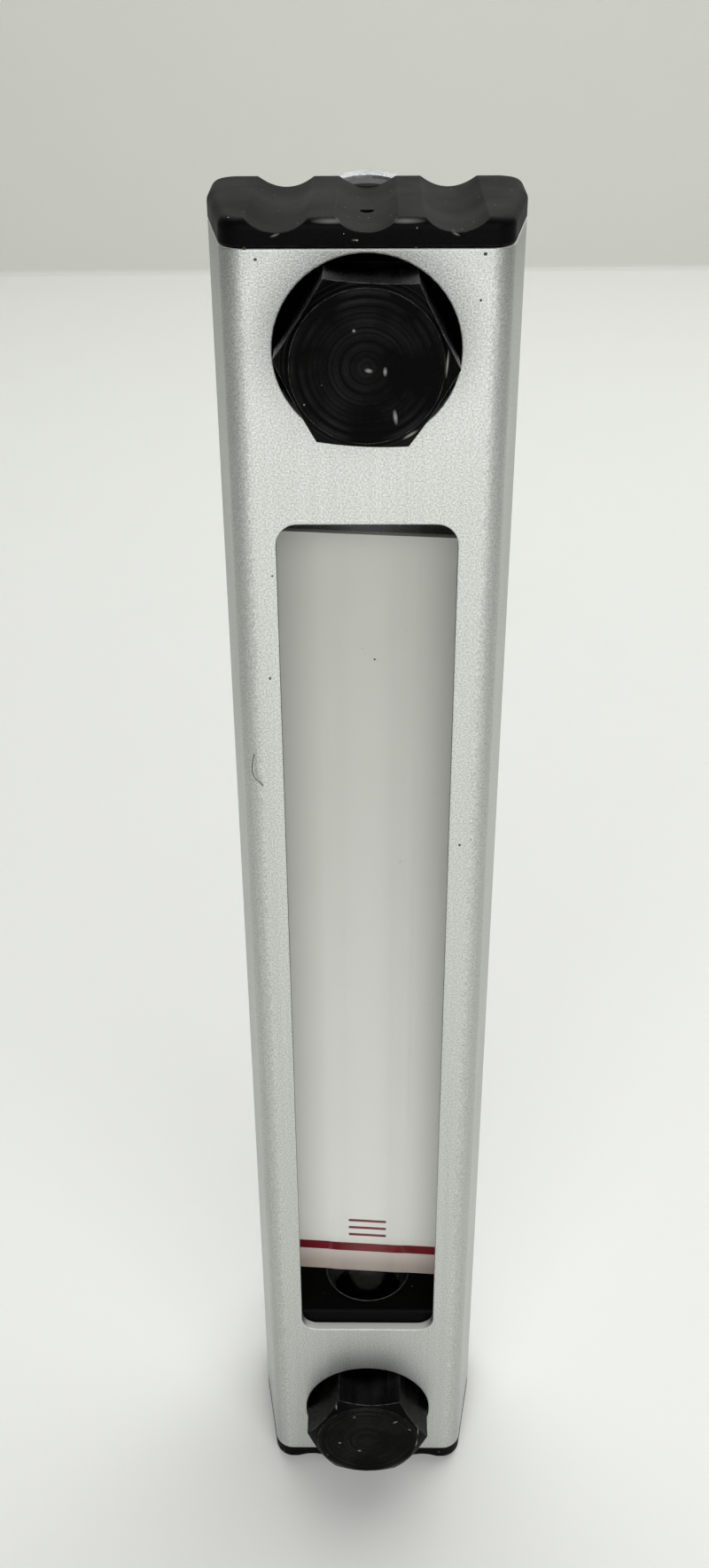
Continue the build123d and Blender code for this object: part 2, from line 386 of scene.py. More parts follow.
def edge_group() -> bpy.types.NodeTree:
    """Worn outer edges, broken up by noise.

    Returns:
        The group, whose Wear output is 1 on a worn edge.
    """
    graph, given, out = new_group("edge_wear", {"Radius": 0.3, "Break Size": 1.0, "Full Turn": 0.8},
                                  ("Wear",))
    true_normal = graph.add("ShaderNodeNewGeometry").outputs["True Normal"]
    facing = graph.vectors("DOT_PRODUCT", graph.rounded(graph.times(given["Radius"], MM)), true_normal)
    edge = graph.remap(facing["Value"], (0.985, given["Full Turn"]), (0, 1))
    noise = graph.noise(graph.place, given["Break Size"], 3.0)
    graph.feed(out.inputs["Wear"], graph.times(edge, graph.remap(noise, (0.4, 0.6), (0.2, 1))))
    return graph.tree


def drawn_group() -> bpy.types.NodeTree:
    """Fine lines along Z that drawing or extruding leaves.

    Returns:
        The group, whose Lines output runs from 0 to 1 across them.
    """
    graph, given, out = new_group("drawn_lines", {"Pitch": 0.4}, ("Lines",))
    stretched = graph.add("ShaderNodeMapping", {"Vector": graph.place, "Scale": (1, 1, 0.01)})
    noise = graph.noise(stretched.outputs["Vector"], given["Pitch"], 2.0)
    graph.feed(out.inputs["Lines"], graph.remap(noise, NOISE_SPAN, (0, 1)))
    return graph.tree


GRAIN = grain_group()
FLECKS = fleck_group()
EDGES = edge_group()
DRAWN = drawn_group()


# ---- finishes -------------------------------------------------------------------------------
class Finish:
    """A finish that can be laid on a piece's material slots."""

    def shade(self, graph: Graph) -> Socket:
        """Build the nodes of a material's graph that end in one surface shader."""
        raise NotImplementedError

    def material(self, name: str) -> Material:
        """Make the material.

        Args:
            name: its name.

        Returns:
            The new material.
        """
        made = bpy.data.materials.new(name)
        made.use_nodes = True
        graph = Graph(made.node_tree)
        graph.place = graph.add("ShaderNodeTexCoord").outputs["Object"]
        graph.add("ShaderNodeOutputMaterial", {"Surface": self.shade(graph)})
        return made


@dataclass(frozen=True)
class AnodisedAluminium(Finish):
    """Blasted and clear-anodised extrusion, with painted shade on its sides, on the window's side walls,
    round the upper head's hole and under the cap, and a painted highlight on the sills and other faces that
    face up or down.
    """

    pale: Colour = linear(224, 226, 223)
    deep: Colour = linear(168, 170, 166)
    line_share: float = 0.1
    line_height: float = 0.15
    fleck: Coat = Coat(linear(128, 129, 126), 0.35)
    darker_tone: Coat = Coat(linear(112, 114, 110), 0.3, (0.15, 0.7))
    window_wall_shade: Coat = Coat(linear(30, 30, 28), 0.85)
    window_wall_turn: float = 0.9
    window_wall_shade_heights: Point = (20 * MM, 70 * MM)
    window_reach: float = 15 * MM
    hole_z: float = 0.0
    hole_shade: Coat = Coat(linear(58, 58, 60), 0.58)
    hole_shade_radii: Point = (8.9 * MM, 14 * MM)
    hole_shade_rise: Point = (-7 * MM, 3 * MM)
    hole_shade_breaks: Point = (1.0, 0.7)
    shadow: Coat = Coat(linear(90, 91, 90), 0.22, (3 * MM, 11 * MM))
    upright_highlight: Coat = Coat(linear(246, 247, 245), 1.0, (0.5, 0.9))
    worn: Coat = Coat(linear(232, 232, 230), 0.6)
    metallic: Point = (0.9, 0.2)
    metallic_turn: Point = (0.3, 0.7)
    roughness: Point = (0.38, 0.46)

    def shade(self, graph: Graph) -> Socket:
        """Build the aluminium's nodes.

        Args:
            graph: the material's graph.

        Returns:
            The surface shader's socket.
        """
        grain = graph.effect(GRAIN, Grain_Size=0.2, Cloud_Size=26.0)
        lines = graph.effect(DRAWN, Pitch=0.9)["Lines"]
        flecks = graph.effect(FLECKS, Spacing=2.6, Size=0.11, Share=0.35)["Flecks"]
        wear = graph.effect(EDGES, Radius=0.22, Break_Size=2.0)["Wear"]
        normal = graph.axes(graph.add("ShaderNodeNewGeometry").outputs["Normal"])
        sideways = graph.maths("ABSOLUTE", normal["X"])
        upright = graph.maths("ABSOLUTE", normal["Z"])
        spot = graph.axes(graph.place)
        tone = graph.maths("MULTIPLY_ADD", lines, self.line_share,
                           graph.times(grain["Grain"], 1 - self.line_share))
        colour = graph.mix(tone, self.deep, self.pale)
        colour = graph.coat(colour, flecks, self.fleck)
        # Painted shade: faces that face sideways are darker.
        colour = graph.coat(colour, sideways, self.darker_tone)
        # Painted shade: the window's side walls darken as they rise from 20 to 70 mm.
        wall = graph.maths("GREATER_THAN", sideways, self.window_wall_turn)
        inside = graph.maths("LESS_THAN", graph.maths("ABSOLUTE", spot["X"]), self.window_reach)
        high = graph.remap(spot["Z"], self.window_wall_shade_heights, (0, 1))
        colour = graph.coat(colour, graph.times(wall, inside, high), self.window_wall_shade)
        # Painted shade: a dark halo round the upper head's hole, strongest over its top.
        reach, rise = graph.from_axis(self.hole_z)
        near = graph.remap(reach, self.hole_shade_radii, (1, 0))
        above = graph.remap(rise, self.hole_shade_rise, (0, 1))
        broken = graph.remap(grain["Grain"], (0, 1), self.hole_shade_breaks)
        colour = graph.coat(colour, graph.times(near, above, broken), self.hole_shade)
        colour = graph.coat(colour, rise, self.shadow)
        # Painted highlight: faces that face up or down, such as the window's sills, are paler.
        colour = graph.coat(colour, upright, self.upright_highlight)
        colour = graph.coat(colour, wear, self.worn)
        height = graph.maths("MULTIPLY_ADD", lines, self.line_height, grain["Grain"])
        return graph.skin(colour, graph.remap(grain["Cloud"], (0, 1), self.roughness),
                          Metallic=graph.remap(upright, self.metallic_turn, self.metallic),
                          Normal=graph.bump(height, 0.02, 0.5, radius=0.25))


@dataclass(frozen=True)
class MouldedPlastic(Finish):
    """Charcoal glass-filled moulding with pale flecks, worn edges and scuffing, partly painted highlights.
    """

    colour: Colour = linear(4, 4, 4)
    pale: Coat = Coat(linear(9, 9, 9))
    fleck: Coat = Coat(linear(170, 170, 166), 0.7)
    flecked: float = 0.4
    rubbed_and_glint: Coat = Coat(linear(130, 130, 126))
    wear_share: float = 0.3
    glint_and_scuff_share: float = 0.8
    glints_and_scuffs: tuple[Mark, ...] = ()
    face_y: float = 0.0
    roughness: Point = (0.4, 0.52)
    specular: float = 0.03

    def shade(self, graph: Graph) -> Socket:
        """Build the plastic's nodes.

        Args:
            graph: the material's graph.

        Returns:
            The surface shader's socket.
        """
        grain = graph.effect(GRAIN, Grain_Size=0.22, Cloud_Size=9.0)
        flecks = graph.effect(FLECKS, Spacing=1.2, Size=0.085, Share=self.flecked)["Flecks"]
        wear = graph.effect(EDGES, Radius=0.15, Break_Size=1.4)["Wear"]
        colour = graph.coat(self.colour, grain["Grain"], self.pale)
        colour = graph.coat(colour, flecks, self.fleck)
        # Pale marks and worn edges: partly painted highlights along the cap's front edges, partly scuffing
        # and wear.
        glint_and_scuff_mask = graph.times(graph.marks(self.glints_and_scuffs, self.face_y), self.glint_and_scuff_share)
        rubbed_and_glint = graph.maths("MAXIMUM", graph.times(wear, self.wear_share), glint_and_scuff_mask)
        return graph.skin(graph.coat(colour, rubbed_and_glint, self.rubbed_and_glint),
                          graph.remap(grain["Cloud"], (0, 1), self.roughness),
                          Specular_IOR_Level=self.specular,
                          Normal=graph.bump(grain["Grain"], 0.02, 0.3, radius=0.3))


@dataclass(frozen=True)
class BlackenedSteel(Finish):
    """Turned bolt with a black conversion coat, oiled, edges nicked to the metal, painted glints and sheen.
    """

    colour: Colour = linear(1, 1, 1)
    pale: Coat = Coat(linear(25, 25, 25))
    smear_and_sheen_span: Point = (0.35, 1.0)
    ring_pitch: float = 0.5 * MM
    ring_height: float = 2.5
    bare_and_glints: Coat = Coat(linear(150, 150, 148))
    fleck_share: float = 0.5
    wear_share: float = 0.55
    glints_and_nicks: tuple[Mark, ...] = ()
    face_y: float = 0.0
    roughness: Point = (0.24, 0.4)
    specular: float = 0.04

    def turned_rings(self, graph: Graph) -> Socket:
        """Make the uneven rings that facing the head on a lathe leaves, as a height of 0 to 1."""
        inputs = {"W": graph.from_axis(0.0)[0], "Scale": 1 / self.ring_pitch, "Detail": 3.0}
        noise = graph.add("ShaderNodeTexNoise", inputs, noise_dimensions="1D")
        return graph.remap(noise.outputs["Fac"], (0.35, 0.65), (0, 1))

    def shade(self, graph: Graph) -> Socket:
        """Build the steel's nodes.

        Args:
            graph: the material's graph.

        Returns:
            The surface shader's socket.
        """
        grain = graph.effect(GRAIN, Grain_Size=0.35, Cloud_Size=5.0)
        flecks = graph.effect(FLECKS, Spacing=2.4, Size=0.13, Share=0.3)["Flecks"]
        # Edges turn pale from shallow angles on, so the chamfer's borders take a thin line: wear and a
        # painted highlight.
        wear = graph.effect(EDGES, Radius=0.13, Break_Size=1.2, Full_Turn=0.95)["Wear"]
        rings = self.turned_rings(graph)
        # Paler turned rings in cloudy patches: part oily smearing, part painted sheen.
        smear_and_sheen = graph.remap(grain["Cloud"], self.smear_and_sheen_span, (0, 1))
        colour = graph.coat(self.colour, graph.times(smear_and_sheen, rings), self.pale)
        rubbed_and_glint = graph.maths("MAXIMUM", graph.times(flecks, self.fleck_share),
                             graph.times(wear, self.wear_share))
        # Pale spots: flecks, worn edges and nicked spots, partly painted glints on the head's face and
        # chamfer.
        bare_and_glints = graph.maths("MAXIMUM", rubbed_and_glint, graph.marks(self.glints_and_nicks, self.face_y))
        height = graph.maths("MULTIPLY_ADD", rings, self.ring_height, grain["Grain"])
        return graph.skin(graph.coat(colour, bare_and_glints, self.bare_and_glints),
                          graph.remap(grain["Grain"], (0, 1), self.roughness),
                          Specular_IOR_Level=self.specular,
                          Normal=graph.bump(height, 0.015, 0.45, radius=0.25))


@dataclass(frozen=True)
class ZincPlate(Finish):
    """Bright zinc plate with faint crystal clouding."""

    darker_tone: Colour = linear(206, 209, 212)
    bright: Coat = Coat(linear(240, 241, 243))
    crystal: Coat = Coat(linear(96, 99, 102), 0.4, (0.5, 1.0))
    worn: Coat = Coat(linear(238, 238, 238), 0.4)
    roughness: Point = (0.22, 0.36)

    def shade(self, graph: Graph) -> Socket:
        """Build the zinc's nodes.

        Args:
            graph: the material's graph.

        Returns:
            The surface shader's socket.
        """
        grain = graph.effect(GRAIN, Grain_Size=0.35, Cloud_Size=4.0)
        wear = graph.effect(EDGES, Radius=0.2, Break_Size=1.0)["Wear"]
        colour = graph.coat(self.darker_tone, grain["Cloud"], self.bright)
        colour = graph.coat(colour, grain["Grain"], self.crystal)
        return graph.skin(graph.coat(colour, wear, self.worn),
                          graph.remap(grain["Cloud"], (0, 1), self.roughness), Metallic=1.0,
                          Normal=graph.bump(grain["Grain"], 0.008, 0.25, radius=0.25))


@dataclass(frozen=True)
class CloudedFinish(Finish):
    """Two tones in soft clouds, with a grain, and flecks where they show."""

    colour: Colour = linear(22, 22, 22)
    pale: Coat = Coat(linear(38, 38, 38))
    grain_size: float = 0.25
    cloud_size: float = 6.0
    fleck: Optional[Coat] = None
    roughness: Point = (0.55, 0.75)
    specular: float = 0.5
    relief: float = 0.015
    relief_strength: float = 0.3
    rounding: float = 0.0

    def shade(self, graph: Graph) -> Socket:
        """Build the finish's nodes.

        Args:
            graph: the material's graph.

        Returns:
            The surface shader's socket.
        """
        grain = graph.effect(GRAIN, Grain_Size=self.grain_size, Cloud_Size=self.cloud_size)
        colour = graph.coat(self.colour, grain["Cloud"], self.pale)
        if self.fleck:
            flecks = graph.effect(FLECKS, Spacing=2.0, Size=0.1, Share=0.2)["Flecks"]
            colour = graph.coat(colour, flecks, self.fleck)
        relief = graph.bump(grain["Grain"], self.relief, self.relief_strength, self.rounding)
        return graph.skin(colour, graph.remap(grain["Grain"], (0, 1), self.roughness),
                          Specular_IOR_Level=self.specular, Normal=relief)


@dataclass(frozen=True)
class Rubber(CloudedFinish):
    """Black moulded rubber."""

    fleck: Optional[Coat] = Coat(linear(110, 110, 106), 0.5)
    rounding: float = 0.25


@dataclass(frozen=True)
class PrintedInk(CloudedFinish):
    """Screen-printed ink, slightly uneven."""

    colour: Colour = linear(92, 3, 16)
    pale: Coat = Coat(linear(112, 8, 24))
    cloud_size: float = 3.0
    roughness: Point = (0.4, 0.5)
    relief: float = 0.004
    relief_strength: float = 0.2


@dataclass(frozen=True)
class Grime(CloudedFinish):
    """Dark dust and fibres that lie on a surface."""

    colour: Colour = linear(34, 32, 28)
    pale: Coat = Coat(linear(66, 63, 57))
    grain_size: float = 0.1
    cloud_size: float = 1.0
    roughness: Point = (0.9, 0.9)
    relief_strength: float = 0.0


@dataclass(frozen=True)
class PaleTable(CloudedFinish):
    """Plain pale table top."""

    colour: Colour = linear(234, 235, 231)
    pale: Coat = Coat(linear(226, 227, 222), 0.1)
    grain_size: float = 0.6
    cloud_size: float = 60.0
    roughness: Point = (0.6, 0.6)
    specular: float = 0.25
    relief: float = 0.01
    relief_strength: float = 0.1


@dataclass(frozen=True)
class ClearTube(Finish):
    """Clear drawn tube, which lets light through to the strip behind it."""

    tint: Colour = linear(250, 250, 250)
    ior: float = 1.012
    roughness: float = 0.01
    gloss: float = 0.2
    gloss_ior: float = 1.5
    gloss_roughness: float = 0.08

    def shade(self, graph: Graph) -> Socket:
        """Build the tube's nodes.

        Args:
            graph: the material's graph.

        Returns:
            The surface shader's socket.
        """
        lines = graph.effect(DRAWN, Pitch=0.7)["Lines"]
        clear = graph.skin((1, 1, 1), self.roughness, IOR=self.ior, Transmission_Weight=1.0,
                           Coat_Weight=self.gloss, Coat_IOR=self.gloss_ior,
                           Coat_Roughness=self.gloss_roughness, Normal=graph.bump(lines, 0.006, 0.1))
        passing = graph.add("ShaderNodeBsdfTransparent", {"Color": self.tint}).outputs["BSDF"]
        ray = graph.add("ShaderNodeLightPath").outputs
        through = graph.maths("MAXIMUM", ray["Is Shadow Ray"], ray["Is Diffuse Ray"])
        return graph.blend(through, clear, passing)


@dataclass(frozen=True)
class EnamelledStrip(Finish):
    """Matt white paint with a little dust: painted shade darkens it towards its head and beside the tube
    that covers its middle, and it is darker and warmer towards its foot.
    """

    foot: Colour = linear(227, 228, 222)
    head: Colour = linear(179, 180, 173)
    heights: Point = (0.0, 1.0)
    cloud_share: float = 0.05
    beside_tube_shade: Coat = Coat(linear(150, 151, 142), 0.1, (5.6 * MM, 7.2 * MM))
    foot_darkening: Coat = Coat(linear(170, 151, 138), 0.75, (-8 * MM, -1.5 * MM))
    fleck: Coat = Coat(linear(96, 94, 90), 0.6)
    roughness: Point = (0.5, 0.6)

    def shade(self, graph: Graph) -> Socket:
        """Build the paint's nodes.

        Args:
            graph: the material's graph.

        Returns:
            The surface shader's socket.
        """
        grain = graph.effect(GRAIN, Grain_Size=0.3, Cloud_Size=30.0)
        flecks = graph.effect(FLECKS, Spacing=7.0, Size=0.12, Share=0.3)["Flecks"]
        spot = graph.axes(graph.place)
        rise = graph.maths("MULTIPLY_ADD", grain["Cloud"], self.cloud_share,
                           graph.remap(spot["Z"], self.heights, (0, 1 - self.cloud_share)))
        # Painted shade: darker towards the strip's head.
        colour = graph.mix(rise, self.foot, self.head)
        # Painted shade: darker outside the tube's width, paler behind the tube.
        colour = graph.coat(colour, graph.maths("ABSOLUTE", spot["X"]), self.beside_tube_shade)
        # Darker and warmer towards the strip's foot, over its lowest 8 mm.
        depth = graph.maths("SUBTRACT", self.heights[0], spot["Z"])
        colour = graph.coat(colour, depth, self.foot_darkening)
        return graph.skin(graph.coat(colour, flecks, self.fleck),
                          graph.remap(grain["Grain"], (0, 1), self.roughness),
                          Normal=graph.bump(grain["Grain"], 0.01, 0.2))


# ---- meshes and pieces ----------------------------------------------------------------------
def grid_mesh(name: str, rows: Rows, closed: bool = True, caps: bool = True) -> Mesh:
    """Skin a mesh over rows of points.

    Args:
        name: the mesh's name.
        rows: rows with the same number of points each.
        closed: whether each row is a loop.
        caps: whether the first and last loops are filled.

    Returns:
        The mesh, with its faces turned outwards.
    """
    build = bmesh.new()
    loops = [[build.verts.new(point) for point in row] for row in rows]
    count = len(rows[0])
    for first, second in zip(loops, loops[1:]):
        for i in range(count if closed else count - 1):
            j = (i + 1) % count
            build.faces.new((first[i], first[j], second[j], second[i]))
    if caps:
        build.faces.new(loops[0][::-1])
        build.faces.new(loops[-1])
    bmesh.ops.recalc_face_normals(build, faces=build.faces)
    mesh = bpy.data.meshes.new(name)
    build.to_mesh(mesh)
    build.free()
    return mesh


def add_object(name: str, data: bpy.types.ID) -> Object:
    """Put a mesh, a lamp or a camera in the scene as a new object."""
    thing = bpy.data.objects.new(name, data)
    bpy.context.scene.collection.objects.link(thing)
    return thing


def carved(mesh: Mesh, tool: Mesh) -> Mesh:
    """Cut one closed mesh out of another.

    Args:
        mesh: what is cut.
        tool: what it is cut with.

    Returns:
        What is left, as a new mesh.
    """
    solid = add_object("uncut", mesh)
    cutter = add_object("cutter", tool)
    cut = solid.modifiers.new("cut", "BOOLEAN")
    cut.operation = "DIFFERENCE"
    cut.solver = "EXACT"
    cut.object = cutter
    done = bpy.data.meshes.new_from_object(solid.evaluated_get(bpy.context.evaluated_depsgraph_get()))
    for holder in (solid, cutter):
        bpy.data.objects.remove(holder)
    return done


def place_piece(name: str, mesh: Mesh, material: Material,
                at: Vector = Vector(), smooth_deg: float = 30.0) -> Object:
    """Put a mesh in the scene as a piece that rides on the gauge.

    Args:
        name: the piece's name.
        mesh: its mesh, about its own origin.
        material: its finish.
        at: where its origin goes.
        smooth_deg: faces that meet at less than this angle are shaded as one.

    Returns:
        The new object.
    """
    mesh.materials.append(material)
    mesh.shade_smooth()
    mesh.set_sharp_from_angle(angle=math.radians(smooth_deg))
    piece = add_object(name, mesh)
    piece.location = at
    bpy.context.view_layer.update()
    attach(piece, BODY)
    log.info("built %s", name)
    return piece


def node_mesh(name: str) -> Mesh:
    """Copy a CAD node's mesh, in the part's frame and without its materials.

    Args:
        name: the node's name.

    Returns:
        The copy.
    """
    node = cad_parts[name]
    mesh = node.data.copy()
    mesh.transform(node.matrix_world)
    mesh.materials.clear()
    return mesh


def dress_node(name: str, material: Material) -> None:
    """Give a CAD node its finish.

    Args:
        name: the node's name.
        material: the finish for all its slots.
    """
    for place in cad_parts[name].material_slots:
        place.material = material
    log.info("dressed %s", name)


def centre(name: str) -> Vector:
    """Return the middle of a CAD node's box."""
    low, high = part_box(name)
    return (low + high) / 2


def turned(points: Sequence[Point], steps: int,
           shape: Optional[Callable[[float, float, float], Point]] = None) -> Rows:
    """Turn a profile about the Y axis.

    Args:
        points: (radius, depth) pairs.
        steps: how many points each loop has.
        shape: gives the true radius and depth from the profile's radius and depth and the angle.

    Returns:
        One loop of points for each profile point.
    """
    loops = []
    for radius, depth in points:
        loop = []
        for step in range(steps):
            angle = math.tau * step / steps
            reach, y = shape(radius, depth, angle) if shape else (radius, depth)
            loop.append(Vector((reach * math.cos(angle), y, reach * math.sin(angle))))
        loops.append(loop)
    return loops


def scatter(name: str, spots: Sequence[Point3], face_y: Callable[[float], float],
            material: Material) -> Object:
    """Scatter specks of dust over a face that looks forwards.

    Args:
        name: the piece's name.
        spots: x, z and size of each speck, in millimetres.
        face_y: gives the face's depth in metres from x in metres.
        material: the dust.

    Returns:
        The specks, one mesh.
    """
    draw = random.Random(SPECK_SEED)
    build = bmesh.new()
    for x, z, size in spots:
        at = Vector((x * MM, face_y(x * MM) - SPECK_LIFT * MM, z * MM))
        spread = Matrix.Diagonal((draw.uniform(0.7, 1.3), 0.25, draw.uniform(0.7, 1.3), 1))
        bmesh.ops.create_icosphere(build, subdivisions=2, radius=size * MM,
                                   matrix=Matrix.Translation(at) @ spread)
    mesh = bpy.data.meshes.new(name)
    build.to_mesh(mesh)
    build.free()
    return place_piece(name, mesh, material, smooth_deg=60)


# ---- sub-assemblies -------------------------------------------------------------------------
@dataclass
class HollowBolt:
    """A hollow bolt: hexagon head with a turned face, threaded shank, bore and cross hole."""

    end: End
    turn_deg: float
    material: Material
    across_flats: float = 17.0 * MM
    head_height: float = 8.5 * MM
    flat_share: float = 0.95
    chamfer_deg: float = 30.0
    shank_radius: float = 6.0 * MM
    bore_radius: float = 2.5 * MM
    thread_pitch: float = 1.5 * MM
    thread_depth: float = 0.85 * MM
    rows_per_pitch: int = 8
    groove_depth: float = 0.9 * MM
    groove_width: float = 6.0 * MM
    cross_hole_radius: float = 2.0 * MM
    drill_spare: float = 1.0 * MM
    drill_steps: int = 32
    drill_point: float = 1.2 * MM
    end_chamfer: float = 1.0 * MM
    mouth_chamfer: float = 0.3 * MM
    face_land: float = 0.3 * MM
    tip_radius: float = 0.05 * MM
    face_rings: tuple[float, ...] = (1.7 * MM, 3.4 * MM, 5.1 * MM)
    ring_width: float = 0.16 * MM
    ring_depth: float = 0.01 * MM
    steps: int = 96

    @property
    def node(self) -> str:
        """Name of the CAD node that the bolt stands for."""
        return f"{self.end.value}_banjo_bolt"

    def head(self, front: float) -> Rows:
        """Make the head's loops, from the middle of its face to its seat.

        Args:
            front: depth of the head's face.

        Returns:
            The loops.
        """
        flat = self.flat_share * self.across_flats / 2
        profile = [(self.tip_radius, front)]
        for ring in self.face_rings:
            profile += [(ring - self.ring_width, front), (ring, front + self.ring_depth),
                        (ring + self.ring_width, front)]
        profile += [(flat - self.face_land, front), (flat, front)]
        slope = math.tan(math.radians(self.chamfer_deg))
        sixth = math.tau / 6

        def hexagon(radius: float, depth: float, angle: float) -> Point:
            """Follow the head's sides, and the chamfer where they meet its face.

            Args:
                radius: half the width across flats.
                depth: the face's depth or the seat's.
                angle: direction from the axis.

            Returns:
                The distance from the axis and the depth there, in metres.
            """
            reach = radius / math.cos(angle % sixth - sixth / 2)
            return reach, depth + (reach - flat) * slope if depth == front else depth

        sides = [(self.across_flats / 2, front), (self.across_flats / 2, front + self.head_height)]
        return turned(profile, self.steps) + turned(sides, self.steps, hexagon)

    def shank(self, seat: float, groove: float, thread: float, end: float) -> Rows:
        """Make the shank's loops, from the head's seat to the bolt's end and back up the bore.

        Args:
            seat: depth of the head's seat.
            groove: depth of the middle of the flow groove.
            thread: depth where the thread starts.
            end: depth of the bolt's end.

        Returns:
            The loops.
        """
        plain = self.shank_radius
        sunk = plain - self.groove_depth
        half = self.groove_width / 2
        profile = [(plain, seat), (plain, groove - half), (sunk, groove - half),
                   (sunk, groove + half), (plain, groove + half)]
        rows = round((end - thread) / (self.thread_pitch / self.rows_per_pitch))
        helix = [(plain, thread + (end - thread) * row / rows) for row in range(rows + 1)]

        def crest(radius: float, depth: float, angle: float) -> Point:
            """Follow the thread, whose crest and root are each a quarter of the pitch wide.

            Args:
                radius: the shank's radius.
                depth: how far along the bolt.
                angle: direction from the axis.

            Returns:
                The distance from the axis and the depth there, in metres.
            """
            phase = ((depth - thread) / self.thread_pitch - angle / math.tau) % 1
            cut = min(1.0, max(0.0, 1.5 - abs(phase - 0.5) * 4)) * self.thread_depth
            runout = min(1.0, (depth - thread) / self.thread_pitch)
            tip = end - self.end_chamfer - depth
            return min(radius - cut * runout, radius + min(0.0, tip)), depth

        bore = [(self.bore_radius + self.mouth_chamfer, end),
                (self.bore_radius, end - self.mouth_chamfer),
                (self.bore_radius, groove), (self.tip_radius, groove - self.drill_point)]
        return (turned(profile, self.steps) + turned(helix, self.steps, crest)
                + turned(bore, self.steps))

    def drilled(self, mesh: Mesh, groove: float) -> Mesh:
        """Drill the cross hole through the shank, square to the bore.

        Args:
            mesh: the bolt.
            groove: depth of the middle of the flow groove.

        Returns:
            The bolt with its hole.
        """
        reach = self.shank_radius + self.drill_spare
        drill = turned([(self.cross_hole_radius, -reach), (self.cross_hole_radius, reach)], self.drill_steps)
        rows = [[Vector((point.x, groove + point.z, point.y)) for point in loop] for loop in drill]
        return carved(mesh, grid_mesh("drill", rows))

    def build(self) -> Object:
        """Build the bolt in place of its CAD node.

        Returns:
            The bolt.
        """
        low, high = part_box(self.node)
        axis_z = centre(f"{self.end.value}_wall_seal").z
        groove = centre("sight_glass").y
        seat = low.y + self.head_height
        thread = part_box(f"{self.end.value}_terminal")[1].y
        loops = self.head(low.y) + self.shank(seat, groove, thread, high.y)
        mesh = grid_mesh(self.node, loops)
        mesh.transform(Matrix.Rotation(math.radians(self.turn_deg), 4, "Y"))
        mesh = self.drilled(mesh, groove)
        name = f"{self.end.value}_hollow_bolt"
        piece = place_piece(name, mesh, self.material, Vector((0, 0, axis_z)), smooth_deg=20)
        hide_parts(self.node)
        return piece


@dataclass
class SightTube:
    """The clear tube with its seals, and a raised lip round its lower socket, painted pale as a highlight.
    """

    material: Material
    seal_material: Material
    lip_highlight_material: Material
    lip_radius: float = 6.72 * MM
    lip_section: float = 0.08 * MM
    section_steps: int = 8
    steps: int = 72

    def add_lip(self) -> Object:
        """Lay the lip round the mouth of the lower socket, paler than the block: a painted highlight.

        Returns:
            The lip.
        """
        rows = []
        for step in range(self.steps + 1):
            angle = math.tau * step / self.steps
            out = Vector((math.cos(angle), math.sin(angle), 0))
            row = []
            for part in range(self.section_steps):
                turn = math.tau * part / self.section_steps
                reach = self.lip_radius + self.lip_section * math.cos(turn)
                row.append(out * reach + Vector((0, 0, self.lip_section * math.sin(turn))))
            rows.append(row)
        mesh = grid_mesh("socket_lip_highlight", rows, caps=False)
        middle = centre("sight_glass")
        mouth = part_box("contrast_strip")[0].z
        return place_piece("socket_lip_highlight", mesh, self.lip_highlight_material,
                           Vector((middle.x, middle.y, mouth)), smooth_deg=60)

    def build(self) -> None:
        """Dress the tube and the two seals in its sockets."""
        dress_node("sight_glass", self.material)
        for end in End:
            dress_node(f"{end.value}_tube_seal", self.seal_material)
        self.add_lip()


@dataclass
class Terminals:
    """The moulded blocks that hold the tube, the upper one bevelled along its lower front edge."""

    material: Material
    bevel_rise: float = 2.4 * MM
    bevel_run: float = 5.8 * MM
    spare: float = 1.0 * MM

    def build(self) -> None:
        """Dress the lower block and build the bevelled one in place of its CAD node."""
        dress_node("lower_terminal", self.material)
        low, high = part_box("upper_terminal")
        front, under, top = low.y - self.spare, low.z - self.spare, low.z + self.bevel_rise
        back = low.y + self.bevel_run
        wedge = ((front, under), (front, top), (low.y, top), (back, low.z), (back, under))
        rows = [[Vector((x, y, z)) for y, z in wedge] for x in (low.x - self.spare, high.x + self.spare)]
        block = carved(node_mesh("upper_terminal"), grid_mesh("wedge", rows))
        piece = place_piece("upper_terminal_block", block, self.material)
        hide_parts("upper_terminal")


